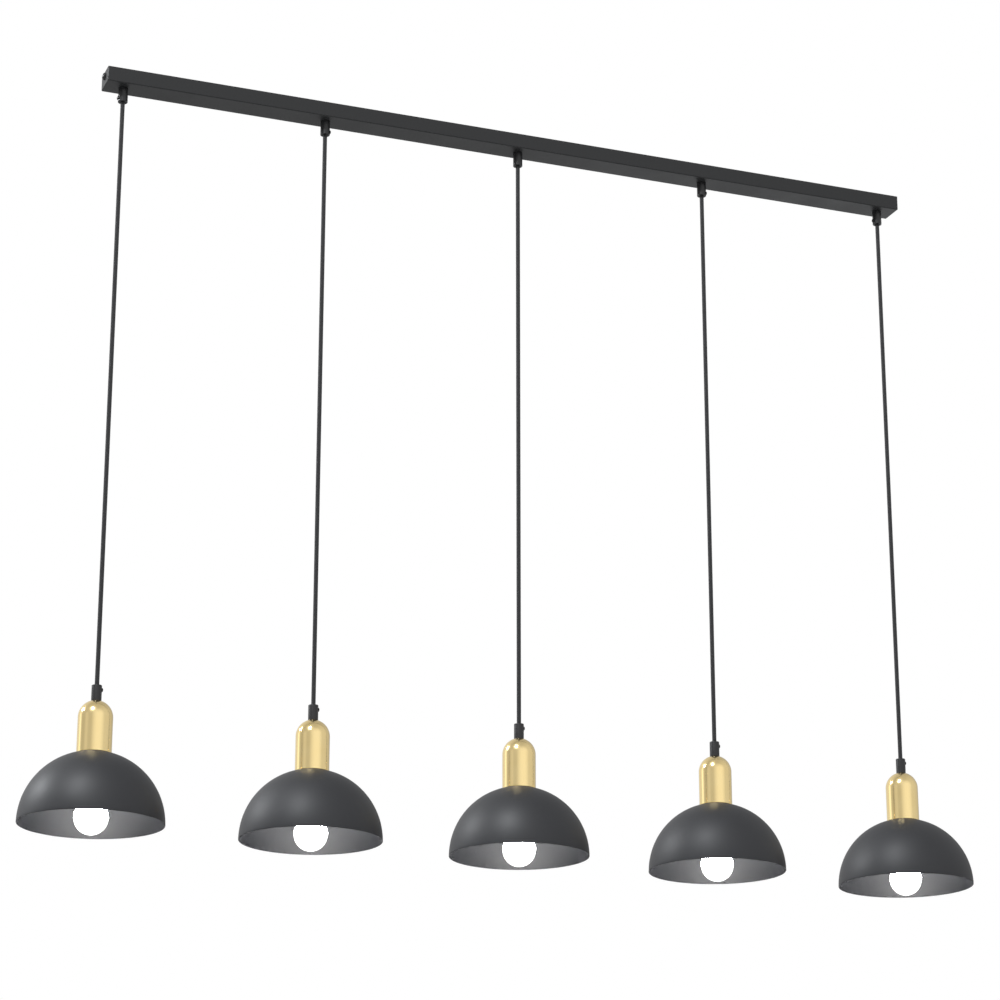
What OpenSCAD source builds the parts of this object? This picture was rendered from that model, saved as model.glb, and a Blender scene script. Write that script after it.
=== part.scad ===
// Five-shade linear pendant light: a slim metal canopy bar on a ceiling strip, and five
// domed shades on round cords, each with a brass cup, a lampholder and a globe bulb.
// The origin is on the ceiling, at the middle of the bar. X runs along the bar.

/* [Canopy] */
// Length of the canopy bar
canopy_l = 1296; // [1292:1:1400]
// Width of the canopy bar
canopy_w = 41; // [39:0.5:60]
// Height of the canopy bar
canopy_h = 22.9; // [21.6:0.1:30]
// Thickness of the canopy's sheet steel
canopy_t = 1.2; // [0.8:0.1:1.5]
// Outside radius of the canopy's folded edges
canopy_edge_r = 1.6; // [1:0.1:2.5]

/* [Ceiling strip] */
// Width of the strip that is screwed to the ceiling
strip_w = 30; // [26:1:34]
// Thickness of the strip
strip_t = 1.5; // [1.2:0.1:2]
// Gap between the strip's bent end and the canopy's end wall
strip_end_gap = 0.3; // [0.2:0.1:1]
// Length of the strip's bent ends below the ceiling
strip_tab_h = 17; // [16:0.5:19]
// Distance between the two outer screw slots
outer_slot_pitch = 1060; // [900:10:1080]
// Distance between the two inner screw slots
inner_slot_pitch = 430; // [380:10:480]
// Width of a screw slot
slot_w = 5; // [4:0.5:6]
// Length of a screw slot from end to end
slot_l = 13; // [10:0.5:20]
// Diameter of the hole for the supply cable
cable_hole_d = 16; // [12:1:20]
// Place of the supply cable's hole along the bar
cable_hole_x = 62; // [50:1:75]

/* [End screws] */
// Distance from the ceiling down to the end screws
end_screw_drop = 8.3; // [7.5:0.1:11]
// Diameter of an end screw's head
end_head_d = 11; // [8:0.5:12]
// Height of an end screw's head
end_head_h = 4.4; // [2.5:0.1:6]
// Diameter of an end screw's shank
end_shank_d = 4; // [3:0.5:5]
// Length of an end screw's shank
end_shank_l = 8; // [6:0.5:12]
// Width of the slot across an end screw's head
end_slot_w = 1.1; // [0.8:0.1:1.4]

/* [Pendants] */
// Distance from one pendant to the next
pendant_pitch = 310; // [290:1:315]
// Diameter of the cord
cord_d = 6.3; // [5:0.1:6.4]
// Free length of cord between the upper and the lower grip
cord_free_l = 877.7; // [300:0.1:1500]
// Length of the cord's first stretch, down to its second bend
cord_first_l = 15; // [10:1:30]

/* [Cord grips] */
// Outside diameter of a cord grip
grip_d = 14.2; // [13:0.1:15]
// Length of a cord grip
grip_l = 22.3; // [20:0.1:30]
// Chamfer at the mouth that lets the cord bend
grip_mouth = 1.4; // [1.3:0.1:1.8]
// Rounding of a grip's outer edge at its mouth
grip_round = 0.8; // [0.4:0.1:1]
// Depth of the threaded socket at a grip's other end
grip_socket_l = 9; // [7:0.5:10]
// Distance from a grip's mouth to its clamping screw
grip_screw_pos = 6.1; // [5.6:0.1:9]
// Diameter of a clamping screw's head
grip_head_d = 5.8; // [4.5:0.1:6]
// Height of a clamping screw's head
grip_head_h = 1.8; // [1.2:0.1:2.5]
// Diameter of a clamping screw's shank
grip_shank_d = 3; // [2.5:0.1:3.5]
// Width of the slot across a clamping screw's head
grip_slot_w = 0.9; // [0.6:0.1:1.2]

/* [Threaded tubes] */
// Outside diameter of the hollow threaded tubes
tube_d = 10; // [9.5:0.1:10.5]
// Bore of the hollow threaded tubes
tube_bore_d = 7; // [6.8:0.1:7.6]
// Length of a short tube that stands inside the canopy
nipple_stand_l = 6; // [5:0.5:6.5]
// Distance across the flats of a locknut
nut_af = 14; // [12.5:0.5:17]
// Thickness of a locknut
nut_h = 3; // [2:0.5:4]

/* [Brass cup] */
// Outside diameter of the cup
cup_d = 48; // [44:0.5:54]
// Height of the cup
cup_h = 73.4; // [60:0.1:90]
// Wall of the cup
cup_t = 1; // [0.8:0.1:1.5]

/* [Shade] */
// Outside diameter of the domed shade
shade_d = 200; // [180:1:230]
// Wall of the shade
shade_t = 1; // [0.8:0.1:2]

/* [Lampholder] */
// Diameter of the lampholder's top
holder_top_d = 19; // [17:0.5:24]
// Diameter of the lampholder's body
holder_body_d = 37; // [35:0.5:40]
// Diameter of the lip round the lampholder's mouth
holder_lip_d = 40; // [38.5:0.5:44]
// Length of the lampholder
holder_l = 50; // [46:0.5:56]
// Depth of the lampholder's lamp chamber
holder_chamber_l = 30; // [29:0.5:31]
// Depth of the thread in the lampholder's top
holder_socket_l = 9; // [7:0.5:10]
// Outside diameter of the screw contact
contact_d = 28.4; // [28:0.1:29]
// Wall of the screw contact
contact_t = 0.5; // [0.3:0.1:0.6]
// Length of the screw contact
contact_l = 19; // [16:0.5:20]

/* [Bulb] */
// Diameter of the globe
globe_d = 47; // [45:0.5:55]
// Wall of the globe
globe_t = 1.2; // [0.8:0.1:2]
// Whole length of the bulb
bulb_l = 88.5; // [86:0.5:96]
// Diameter of the bulb's screw cap
cap_d = 26.2; // [25.8:0.1:26.4]
// Length of the bulb's screw cap with its tip
cap_l = 26; // [25:0.5:28]
// Diameter of the collar below the cap
collar_d = 28.6; // [27:0.1:32]

/* [Wiring in the canopy] */
// Diameter of one insulated core
core_d = 1.8; // [1.5:0.1:1.8]
// Distance between the cores of one cord
core_pitch = 1.9; // [1.9:0.1:2]
// Centre line radius of a core's bend
core_bend_r = 3; // [2.5:0.5:3.5]
// Length of the connector box
box_l = 46; // [40:1:60]
// Width of the connector box
box_w = 24; // [20:1:26]
// Place of the connector box along the bar
box_x = 155; // [145:1:165]

/* [Hidden] */
$fn = 64;
small = 0.01; // lets a cut run past the face that it opens
past = 1; // how far the longer cuts run past a piece
fit = 0.05; // play between a threaded piece and its hole
seat = 0.02; // play between faces that rest on each other
cord_play = 0.1; // play of a cord in its bore
hole_play = 0.2; // play of a tube or a shank in a sheet's hole
box_play = 0.3; // play of the cores in the connector box's mouths

pendants = [0 : 4];
upper_screw_turn = [180, 0, 90, 0, 180]; // which way each upper clamping screw faces

cord_r = cord_d / 2;
grip_r = grip_d / 2;
tube_r = tube_d / 2;
cup_r = cup_d / 2;
shade_r = shade_d / 2;
globe_r = globe_d / 2;

canopy_floor_z = canopy_t - canopy_h;
upper_mouth_z = -canopy_h - seat - grip_l;
lower_mouth_z = upper_mouth_z - cord_free_l;
bend_z = upper_mouth_z - cord_first_l;
cup_top_z = lower_mouth_z - grip_l - seat;
cup_bottom_z = cup_top_z - cup_h;
// the cup's inner edge rests on the dome, so the dome's centre follows from both
cup_seat_r = cup_r - cup_t;
shade_z = cup_bottom_z - seat - sqrt(pow(shade_r, 2) - pow(cup_seat_r, 2));
// the holder's flat top touches the inside of the dome at its own edge
holder_z = shade_z - seat + sqrt(pow(shade_r - shade_t, 2) - pow(holder_top_d / 2, 2));
holder_mouth_z = holder_z - holder_l;
chamber_z = holder_mouth_z + holder_chamber_l;
collar_gap = 0.5; // space between the bulb's collar and the lampholder's mouth
bulb_top_z = holder_mouth_z - collar_gap + cap_l;
tongue_h = chamber_z - seat - bulb_top_z - cord_play; // the centre contact reaches the tip
globe_z = bulb_top_z - bulb_l + globe_r;

end_screw_z = -end_screw_drop;
strip_l = canopy_l - 2 * (canopy_t + strip_end_gap);
strip_bend_r = 2.2; // outside radius of the strip's bends
nipple_top_z = canopy_floor_z + nipple_stand_l;
sheath_stand_l = 1; // how far a cord's sheath stands out of the short tube
sheath_top_z = nipple_top_z + sheath_stand_l;
ball_gap = 0.3; // space over the ball end of a moving cord
bend_max = 45; // the furthest that a cord swings, in degrees
core_r = core_d / 2;
// the cores pass over one another at three heights under the strip
rank_gap = 0.7;
rank_z = [for (k = [0 : 2]) -strip_t - 3 * rank_gap - core_r - k * (core_d + rank_gap)];
core_rank = [0, 1, 2, 1, 0]; // which height each pendant's cores take
core_side = [1, 1, 1, -1, -1]; // the way along X from a pendant to the connector box
box_mouth_l = 5; // how far the cores reach into the connector box
box_top_z = -strip_t - 1;
box_round = 2;
earth_x = box_x + box_l / 2 + 34; // place of the earth stud along the bar
stud_r = 2;
stud_l = 9;
stud_nut_af = 7;
base_nut_h = 2; // nut that lifts the earth tag off the floor
tag_r = 4.2;
tag_tail = 9; // from the stud to the end of the tag
tag_t = 0.8;
washer_r = 3.8;
washer_h = 0.8;
top_nut_h = 2.6;
tag_z = canopy_floor_z + seat + base_nut_h + seat;

function pendant_x(i) = (i - 2) * pendant_pitch;

module at_pendant(i) translate([pendant_x(i), 0, 0]) children();

module both_ends() for (side = [0, 180]) rotate([0, 0, side]) children();

// A rectangle about the origin with round corners
module round_rect(w, h, r) {
    square([w - 2 * r, h], center = true);
    square([w, h - 2 * r], center = true);
    for (x = [-1, 1], y = [-1, 1])
        translate([x * (w / 2 - r), y * (h / 2 - r)]) circle(r);
}

// A slot that runs along X, from end to end of its length
module slot_2d(w, l) {
    square([l - w, w], center = true);
    for (x = [-1, 1]) translate([x * (l - w) / 2, 0]) circle(w / 2);
}

// Block with round edges on its long sides, its ends and its upright corners; its top is cut flat
module folded_block(l, w, h, r) intersection() {
    rotate([90, 0, 90]) linear_extrude(l, center = true)
        translate([0, -h / 2 + r]) round_rect(w, h + 2 * r, r);
    rotate([90, 0, 0]) linear_extrude(w, center = true)
        translate([0, -h / 2 + r]) round_rect(l, h + 2 * r, r);
    translate([0, 0, -h]) linear_extrude(h) round_rect(l, w, r);
}

module canopy() color("#3d3d3f") difference() {
    folded_block(canopy_l, canopy_w, canopy_h, canopy_edge_r);
    translate([0, 0, small]) folded_block(
        canopy_l - 2 * canopy_t, canopy_w - 2 * canopy_t,
        canopy_h - canopy_t + small, max(canopy_edge_r - canopy_t, 0.3));
    for (i = pendants) at_pendant(i)
        translate([0, 0, -canopy_h - small]) cylinder(canopy_t + past, r = tube_r + hole_play);
    both_ends() translate([canopy_l / 2 - canopy_t - past, 0, end_screw_z])
        rotate([0, 90, 0]) cylinder(canopy_t + 2 * past, r = end_shank_d / 2 + hole_play);
    translate([earth_x, 0, -canopy_h - small]) cylinder(canopy_t + past, r = stud_r + seat);
}

// Flat strip with both ends bent down, one piece of sheet
module ceiling_strip() color("#b9bcbf") difference() {
    rotate([90, 0, 0]) linear_extrude(strip_w, center = true) difference() {
        intersection() {
            translate([0, -strip_tab_h]) round_rect(strip_l, 2 * strip_tab_h, strip_bend_r);
            translate([0, -strip_tab_h / 2]) square([strip_l, strip_tab_h], center = true);
        }
        translate([0, -strip_tab_h - strip_t])
            round_rect(strip_l - 2 * strip_t, 2 * strip_tab_h, strip_bend_r - strip_t);
    }
    for (pitch = [outer_slot_pitch, inner_slot_pitch], side = [-1, 1])
        translate([side * pitch / 2, 0, -strip_t - past])
            linear_extrude(strip_t + 2 * past) slot_2d(slot_w, slot_l);
    translate([cable_hole_x, 0, -strip_t - past])
        cylinder(strip_t + 2 * past, d = cable_hole_d);
    both_ends() translate([strip_l / 2 - strip_t - past, 0, end_screw_z])
        rotate([0, 90, 0]) cylinder(strip_t + 2 * past, r = end_shank_d / 2 + fit);
}

// Domed head with a slot; the face under the head is at the origin and the shank runs to -Z
module slotted_screw(head_d, head_h, slot_w, shank_d, shank_l) {
    side_h = head_h * 0.4; // upright edge of the head, under its dome
    slot_depth = head_h * 0.35;
    dome_h = head_h - side_h;
    dome_r = (pow(head_d / 2, 2) + pow(dome_h, 2)) / (2 * dome_h);
    difference() {
        rotate_extrude() intersection() {
            square([head_d / 2, head_h]);
            union() {
                square([head_d / 2, side_h]);
                translate([0, head_h - dome_r]) circle(dome_r);
            }
        }
        translate([0, 0, head_h]) cube([head_d + past, slot_w, 2 * slot_depth], center = true);
    }
    translate([0, 0, -shank_l]) cylinder(shank_l + small, d = shank_d);
}

module end_screws() color("#2b2b2d") both_ends()
    translate([canopy_l / 2 + seat, 0, end_screw_z]) rotate([0, 90, 0])
        slotted_screw(end_head_d, end_head_h, end_slot_w, end_shank_d, end_shank_l);

// Turned grip: its mouth is at the origin and its socket opens at +Z
module cord_grip() difference() {
    rotate_extrude() difference() {
        union() {
            translate([0, grip_round]) square([grip_r, grip_l - grip_round]);
            square([grip_r - grip_round, grip_l]);
            translate([grip_r - grip_round, grip_round]) circle(grip_round);
        }
        translate([0, -past]) square([cord_r + cord_play, grip_l + 2 * past]);
        polygon([
            [0, -small], [cord_r + cord_play + grip_mouth + small, -small],
            [cord_r + cord_play, grip_mouth], [0, grip_mouth]
        ]);
        translate([0, grip_l - grip_socket_l]) square([tube_r + fit, grip_socket_l + past]);
    }
    translate([0, 0, grip_screw_pos]) rotate([0, 90, 0])
        cylinder(grip_r + past, r = grip_shank_d / 2 + fit);
}

// Clamping screw of a grip, in the grip's own frame; it bears on the cord
module grip_clamp() translate([grip_r + seat, 0, grip_screw_pos]) rotate([0, 90, 0])
    slotted_screw(grip_head_d, grip_head_h, grip_slot_w, grip_shank_d,
        grip_r + seat - cord_r - cord_play);

module upper_grips() color("#232325") for (i = pendants) at_pendant(i)
    translate([0, 0, upper_mouth_z]) rotate([0, 0, upper_screw_turn[i]]) cord_grip();

module upper_grip_screws() color("#232325") for (i = pendants) at_pendant(i)
    translate([0, 0, upper_mouth_z]) rotate([0, 0, upper_screw_turn[i]]) grip_clamp();

module hollow_tube(from_z, to_z) translate([0, 0, from_z]) difference() {
    cylinder(to_z - from_z, r = tube_r);
    translate([0, 0, -past]) cylinder(to_z - from_z + 2 * past, d = tube_bore_d);
}

module short_tubes() color("#c9a95c") for (i = pendants) at_pendant(i)
    hollow_tube(upper_mouth_z + grip_l - grip_socket_l + seat, nipple_top_z);

module hex_nut(af, h, bore_r) difference() {
    cylinder(h, d = af / cos(30), $fn = 6);
    translate([0, 0, -past]) cylinder(h + 2 * past, r = bore_r);
}

module locknuts() color("#c0c2c5") for (i = pendants) at_pendant(i)
    translate([0, 0, canopy_floor_z + seat]) hex_nut(nut_af, nut_h, tube_r + fit);

// Closed box with a mouth for the cores at both ends and a hole for the earth lead
module connector_box() color("#e8e8e4") difference() {
    box_h = box_top_z - canopy_floor_z - seat;
    mouth_top_z = rank_z[0] + core_r + box_play;
    mouth_bottom_z = rank_z[2] - core_r - box_play;
    translate([box_x, 0, canopy_floor_z + seat])
        linear_extrude(box_h) round_rect(box_l, box_w, box_round);
    for (side = [-1, 1])
        translate([box_x + side * box_l / 2, 0, (mouth_top_z + mouth_bottom_z) / 2])
            cube([2 * box_mouth_l, 2 * core_pitch + core_d + 2 * box_play,
                mouth_top_z - mouth_bottom_z], center = true);
    translate([box_x + box_l / 2 - box_mouth_l, 0, tag_z + core_r]) rotate([0, 90, 0])
        cylinder(box_mouth_l + past, r = core_r + box_play);
}

// Stud in the canopy's floor with a nut under the earth tag, and a washer and a nut over it
module earth_terminal() color("#c9a95c") translate([earth_x, 0, 0]) {
    washer_z = tag_z + tag_t + seat;
    translate([0, 0, -canopy_h]) cylinder(canopy_t + stud_l, r = stud_r);
    translate([0, 0, canopy_floor_z + seat]) hex_nut(stud_nut_af, base_nut_h, stud_r + fit);
    translate([0, 0, washer_z]) difference() {
        cylinder(washer_h, r = washer_r);
        translate([0, 0, -past]) cylinder(washer_h + 2 * past, r = stud_r + fit);
    }
    translate([0, 0, washer_z + washer_h + seat])
        hex_nut(stud_nut_af, top_nut_h, stud_r + fit);
}

// Core that rises from a sheath, turns once and runs along X to a mouth of the connector box
module core_run(i, y) {
    side = core_side[i];
    level = rank_z[core_rank[i]];
    mouth_x = box_x - side * (box_l / 2 - box_mouth_l + box_play);
    run = abs(mouth_x - pendant_x(i)) - core_bend_r;
    translate([pendant_x(i), y, 0]) {
        translate([0, 0, sheath_top_z - small])
            cylinder(level - core_bend_r - sheath_top_z + small, r = core_r);
        translate([side * core_bend_r, 0, level - core_bend_r]) rotate([90, 0, 0])
            rotate([0, 0, side > 0 ? 90 : 0])
                rotate_extrude(angle = 90) translate([core_bend_r, 0]) circle(core_r);
        translate([side * core_bend_r, 0, level]) rotate([0, side * 90, 0])
            cylinder(run, r = core_r);
    }
}

// Flat tag round the earth stud and its core to the connector box
module earth_lead() {
    from_x = box_x + box_l / 2 - box_mouth_l + box_play;
    difference() {
        translate([0, 0, tag_z]) linear_extrude(tag_t) {
            translate([earth_x, 0]) circle(tag_r);
            translate([earth_x - tag_tail, -core_r]) square([tag_tail, core_d]);
        }
        translate([earth_x, 0, tag_z - past]) cylinder(tag_t + 2 * past, r = stud_r + fit);
    }
    translate([from_x, 0, tag_z + core_r]) rotate([0, 90, 0])
        cylinder(earth_x - tag_r - past - from_x, r = core_r);
}

module inner_leads() color("#2a2a2c") {
    for (i = pendants) {
        at_pendant(i) translate([0, 0, upper_mouth_z + cord_r + ball_gap])
            cylinder(sheath_top_z - upper_mouth_z - cord_r - ball_gap, d = cord_d);
        for (lane = [-1, 0, 1]) core_run(i, lane * core_pitch);
    }
    earth_lead();
}

// The half of an outline that a turned piece uses
module right_half(z, h) intersection() {
    children();
    translate([0, z]) square([shade_d, h]);
}

// Upper stretch of a cord: a ball end in the grip's mouth, and a hollow end over the next ball
module cord_top() color("#333336") rotate_extrude() difference() {
    socket_edge = 8; // the socket's edge clears the next stretch by so many degrees less
    union() {
        translate([0, bend_z]) square([cord_r, cord_first_l]);
        right_half(upper_mouth_z - small, cord_d) translate([0, upper_mouth_z]) circle(cord_r);
    }
    translate([0, bend_z - small])
        square([cord_r + past, (cord_r + cord_play) * sin(bend_max - socket_edge)]);
    translate([0, bend_z]) circle(cord_r + cord_play);
}

// The rest of the cord, from its ball end down into the lampholder
module cord() color("#333336") {
    cord_l = bend_z - holder_z + holder_socket_l + past;
    rotate_extrude() {
        translate([0, bend_z - cord_l]) square([cord_r, cord_l]);
        right_half(bend_z - cord_r, cord_d) translate([0, bend_z]) circle(cord_r);
    }
}

// The lower grips stand the other way up, mouth on top
module in_lower_grip() translate([0, 0, lower_mouth_z]) mirror([0, 0, 1]) children();

module grip() color("#3a3a3c") in_lower_grip() cord_grip();

module grip_screw() color("#3a3a3c") in_lower_grip() grip_clamp();

module threaded_tube() color("#c9a95c")
    hollow_tube(holder_z - holder_socket_l + seat,
        lower_mouth_z - grip_l + grip_socket_l - seat);

// Right half of the cup's outline, at a given distance inside its outer face
module cup_outline(inset) {
    r = cup_r - inset;
    dome_z = cup_top_z - sqrt(pow(cup_r, 2) - pow(grip_r, 2));
    intersection() {
        union() {
            translate([0, dome_z]) circle(r, $fn = 96);
            translate([0, cup_bottom_z - past]) square([r, dome_z - cup_bottom_z + past]);
        }
        translate([0, cup_bottom_z - inset])
            square([r, cup_top_z - cup_bottom_z]);
    }
}

module cup() color("#d8bd78") rotate_extrude($fn = 96) difference() {
    cup_outline(0);
    cup_outline(cup_t);
    translate([0, cup_bottom_z]) square([tube_r + hole_play, cup_h + past]);
}

// Spun hemisphere with a hole for the tube at its crown
module shade() color("#505256") rotate_extrude($fn = 180) difference() {
    right_half(shade_z, shade_r) translate([0, shade_z]) circle(shade_r, $fn = 180);
    translate([0, shade_z]) circle(shade_r - shade_t, $fn = 180);
    translate([0, shade_z]) square([tube_r + hole_play, shade_r + past]);
}

// Plain-skirt lampholder: threaded top, cap, a groove where cap and skirt meet, and a lip
module lampholder() color("#1f1f21") translate([0, 0, holder_mouth_z]) rotate_extrude() {
    top_r = holder_top_d / 2;
    body_r = holder_body_d / 2;
    lip_r = holder_lip_d / 2;
    neck_l = 6; // straight neck under the dome
    slope_l = 5; // from the neck down to the cap's shoulder
    shoulder = 4; // chamfer of the cap's shoulder
    joint_z = holder_l - 18; // cap and skirt meet here
    groove = 0.8;
    lip_h = 4;
    thread_end_z = holder_l - holder_socket_l - 4; // room under the tube for the cord's clamp
    chamber_r = contact_d / 2 + fit;
    passage_r = cord_r + cord_play;
    polygon([
        [tube_r + fit, holder_l], [top_r, holder_l], [top_r, holder_l - neck_l],
        [body_r - shoulder, holder_l - neck_l - slope_l], [body_r, joint_z + groove],
        [body_r, joint_z], [body_r - groove, joint_z - groove],
        [body_r, joint_z - 2 * groove], [body_r, lip_h + past],
        [lip_r, lip_h], [lip_r, 0], [chamber_r, 0], [chamber_r, holder_chamber_l],
        [passage_r, holder_chamber_l], [passage_r, thread_end_z], [tube_r + fit, thread_end_z]
    ]);
}

// Screw shell and sprung centre tongue of a lampholder
module contacts() color("#c9a95c") {
    shell_gap = 2; // from the chamber's floor to the shell
    tongue_w = 6;
    tongue_t = 0.6;
    foot_x = -8;
    bend_x = 3;
    tip_x = -4;
    translate([0, 0, chamber_z - contact_l - shell_gap]) difference() {
        cylinder(contact_l, d = contact_d);
        translate([0, 0, -past]) cylinder(contact_l + 2 * past, d = contact_d - 2 * contact_t);
    }
    translate([0, tongue_w / 2, chamber_z - seat]) rotate([90, 0, 0]) linear_extrude(tongue_w) {
        translate([foot_x, -tongue_t]) square([bend_x - foot_x, tongue_t]);
        translate([bend_x - tongue_t, -tongue_h]) square([tongue_t, tongue_h]);
        translate([tip_x, -tongue_h]) square([bend_x - tip_x, tongue_t]);
    }
}

// Screw cap with its tip, a collar, and a hollow globe
module bulb() color("#fffdf5") translate([0, 0, globe_z]) difference() {
    top_z = bulb_l - globe_r;
    rim_z = top_z - cap_l;
    cap_r = cap_d / 2;
    tip_r = 5;
    tip_edge = 0.4; // chamfer of the tip's own edge
    tip_h = 1.6;
    slope_z = top_z - 5.6; // foot of the glass cone round the tip
    collar_r = collar_d / 2;
    collar_edge = 0.6;
    collar_h = 3;
    join = globe_r * 0.6; // height at which the neck runs into the globe
    union() {
        rotate_extrude() polygon([
            [0, top_z], [tip_r - tip_edge, top_z - tip_edge], [tip_r, top_z - tip_h],
            [cap_r - past, slope_z], [cap_r, slope_z - past], [cap_r, rim_z],
            [collar_r, rim_z - collar_edge], [collar_r, rim_z - collar_h],
            [join, join], [0, join]
        ]);
        sphere(globe_r);
    }
    sphere(globe_r - globe_t);
}

canopy();
ceiling_strip();
end_screws();
upper_grips();
upper_grip_screws();
short_tubes();
locknuts();
connector_box();
earth_terminal();
inner_leads();
for (i = pendants) {
    tag = str("_", i + 1);
    at_pendant(i) cord_top();
    at_pendant(i) cord();
    at_pendant(i) grip();
    at_pendant(i) grip_screw();
    at_pendant(i) threaded_tube();
    at_pendant(i) cup();
    at_pendant(i) shade();
    at_pendant(i) lampholder();
    at_pendant(i) contacts();
    at_pendant(i) bulb();
}
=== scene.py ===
import math

import bmesh
import bpy
from mathutils import Matrix, Vector


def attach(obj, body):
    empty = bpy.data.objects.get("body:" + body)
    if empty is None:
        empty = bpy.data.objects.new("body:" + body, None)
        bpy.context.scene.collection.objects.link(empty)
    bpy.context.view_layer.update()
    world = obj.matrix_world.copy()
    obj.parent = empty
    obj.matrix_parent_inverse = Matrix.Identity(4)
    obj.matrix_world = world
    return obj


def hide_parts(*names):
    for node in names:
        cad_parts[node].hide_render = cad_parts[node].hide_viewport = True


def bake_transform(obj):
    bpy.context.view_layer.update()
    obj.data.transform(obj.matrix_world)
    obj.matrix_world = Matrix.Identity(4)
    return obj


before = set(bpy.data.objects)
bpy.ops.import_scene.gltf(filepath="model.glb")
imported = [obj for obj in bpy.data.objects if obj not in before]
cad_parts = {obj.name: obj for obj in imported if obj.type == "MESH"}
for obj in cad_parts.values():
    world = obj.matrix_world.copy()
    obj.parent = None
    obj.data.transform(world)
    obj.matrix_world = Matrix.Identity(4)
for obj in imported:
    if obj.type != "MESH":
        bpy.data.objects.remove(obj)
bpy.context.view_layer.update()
fullTurn = 2 * math.pi
white = (1, 1, 1, 1)
# where the five pendants hang along the bar, in metres
pendantX = {1: -0.62, 2: -0.31, 3: 0.0, 4: 0.31, 5: 0.62}

# sizes in millimetres that more than one piece needs; pieces that touch stand one seat apart
seat = 0.02
barHeight, gripLength, hangingLength, cupHeight, holderLength, capLength = 22.9, 22.3, 877.7, 73.4, 50, 26
cordDiameter, gripWidth, cupRadius, shadeRadius, spunWall = 6.3, 14.2, 24, 100, 1.0
holderCrown, bulbLength, globeRadius = 9.5, 88.5, 23.5
# heights below the ceiling, from the bar down to the bulb
upperMouth = -barHeight - seat - gripLength
lowerMouth = upperMouth - hangingLength
cupTop = lowerMouth - gripLength - seat
cupBottom = cupTop - cupHeight
# the cup's inner edge stands on the shade, and the lampholder's crown meets it from inside
rimHeight = cupBottom - seat - math.sqrt(shadeRadius ** 2 - (cupRadius - spunWall) ** 2)
holderTop = rimHeight - seat + math.sqrt((shadeRadius - spunWall) ** 2 - holderCrown ** 2)
holderMouth = holderTop - holderLength
capTop = holderMouth - 0.5 + capLength
globeCentre = capTop - bulbLength + globeRadius

print("camera")
# solved from the bar's corners, the rims and the cords in the photograph
cameraSettings = {"place": (-1.4965, -3.8107, -1.9226), "aim": (0.3415, 0.8869, 0.3109), "lens": 105.02,
                  "sensor": 36}
cameraData = bpy.data.cameras.new("camera")
cameraData.lens = cameraSettings["lens"]
cameraData.sensor_width = cameraSettings["sensor"]
camera = bpy.data.objects.new("camera", cameraData)
camera.location = cameraSettings["place"]
camera.rotation_euler = Vector(cameraSettings["aim"]).to_track_quat("-Z", "Y").to_euler()
bpy.context.scene.collection.objects.link(camera)
bpy.context.scene.camera = camera
bpy.context.scene.view_settings.view_transform = "Standard"


# Shapes are drawn in millimetres and made metres when they are placed
def arc(centreR, centreZ, radius, fromDegrees, toDegrees, steps):
    points = []
    for i in range(steps + 1):
        angle = math.radians(fromDegrees + (toDegrees - fromDegrees) * i / steps)
        points.append((centreR + radius * math.cos(angle), centreZ + radius * math.sin(angle)))
    return points


def turned(outline, steps=48, closed=True):
    # spins an outline of (radius, height) points about the upright axis
    bm = bmesh.new()
    corners = [bm.verts.new((radius, 0, height)) for radius, height in outline]
    sides = [bm.edges.new(pair) for pair in zip(corners, corners[1:])]
    if closed:
        sides.append(bm.edges.new((corners[-1], corners[0])))
    bmesh.ops.spin(bm, geom=corners + sides, cent=(0, 0, 0), axis=(0, 0, 1), angle=fullTurn,
                   steps=steps, use_merge=True)
    bmesh.ops.remove_doubles(bm, verts=bm.verts, dist=0.001)
    bmesh.ops.recalc_face_normals(bm, faces=bm.faces)
    return bm


def cutAway(bm, cutter):
    # takes the cutter's shape out of bm
    parts = []
    for shape in (bm, cutter):
        mesh = bpy.data.meshes.new("cutting")
        shape.to_mesh(mesh)
        shape.free()
        part = bpy.data.objects.new("cutting", mesh)
        bpy.context.scene.collection.objects.link(part)
        parts.append(part)
    boolean = parts[0].modifiers.new("cut", "BOOLEAN")
    boolean.operation = "DIFFERENCE"
    boolean.solver = "EXACT"
    boolean.object = parts[1]
    bpy.context.view_layer.update()
    result = bmesh.new()
    result.from_object(parts[0], bpy.context.evaluated_depsgraph_get())
    for part in parts:
        mesh = part.data
        bpy.data.objects.remove(part)
        bpy.data.meshes.remove(mesh)
    return result


def block(low, high):
    # a box from its lowest corner to its highest
    bm = bmesh.new()
    bmesh.ops.create_cube(bm, size=1)
    bmesh.ops.scale(bm, vec=[b - a for a, b in zip(low, high)], verts=bm.verts)
    bmesh.ops.translate(bm, vec=[(a + b) / 2 for a, b in zip(low, high)], verts=bm.verts)
    return bm


def addRod(bm, start, end, radius, sides=16):
    along = Vector(end) - Vector(start)
    middle = (Vector(start) + Vector(end)) / 2
    place = Matrix.Translation(middle) @ along.to_track_quat("Z", "Y").to_matrix().to_4x4()
    bmesh.ops.create_cone(bm, cap_ends=True, segments=sides, radius1=radius, radius2=radius,
                          depth=along.length, matrix=place)


def joined(shapes):
    # one bmesh of several, each with its place
    whole = bmesh.new()
    for shape, place in shapes:
        mesh = bpy.data.meshes.new("joining")
        shape.to_mesh(mesh)
        mesh.transform(Matrix.Translation(place))
        whole.from_mesh(mesh)
        bpy.data.meshes.remove(mesh)
    return whole


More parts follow.
